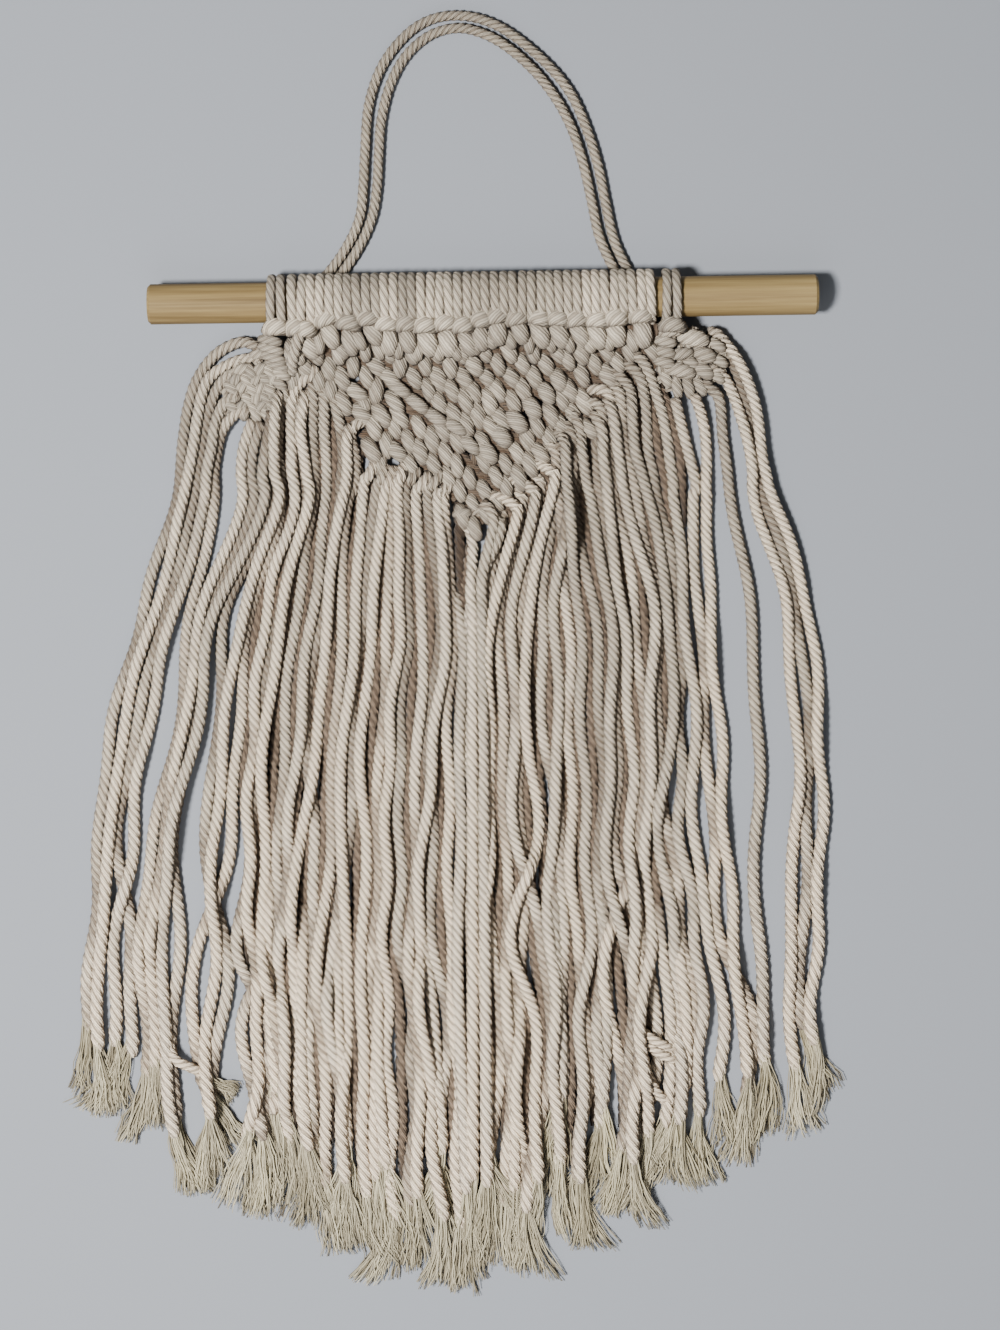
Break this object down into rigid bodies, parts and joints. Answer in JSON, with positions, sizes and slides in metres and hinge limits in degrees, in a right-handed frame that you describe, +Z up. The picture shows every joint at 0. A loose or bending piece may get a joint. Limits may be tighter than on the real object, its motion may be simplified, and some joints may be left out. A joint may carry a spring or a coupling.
{
  "type": "macrame wall hanging on wooden dowel",
  "caption": "Macrame hanging of twisted cotton cord on a round wooden dowel, with a knotted V, side wings, a long frayed fringe and a doubled hanging loop; it lies on its back.",
  "frame": {"origin": "on the surface that the hanging lies on, straight below the middle of the dowel, on the flat where the wrapped cords rest", "axes": "+X along the dowel to the right, +Y towards the hanging loop, +Z up from the surface, out of the hanging's front"},
  "size_m": [0.3479, 0.5743, 0.0245],
  "materials": {
    "pale_wood": "pale softwood, sanded, unfinished",
    "cotton_cord": "undyed four-strand twisted cotton cord, matt"
  },
  "bodies": {
    "root": {"dowel": "pale_wood", "lark_heads": "cotton_cord", "left_mount": "cotton_cord", "right_mount": "cotton_cord", "knotted_panel": "cotton_cord", "fringe_left": "cotton_cord", "fringe_right": "cotton_cord", "wing_left": "cotton_cord", "wing_right": "cotton_cord", "hanger_outer": "cotton_cord", "hanger_inner": "cotton_cord"}
  },
  "joints": []
}
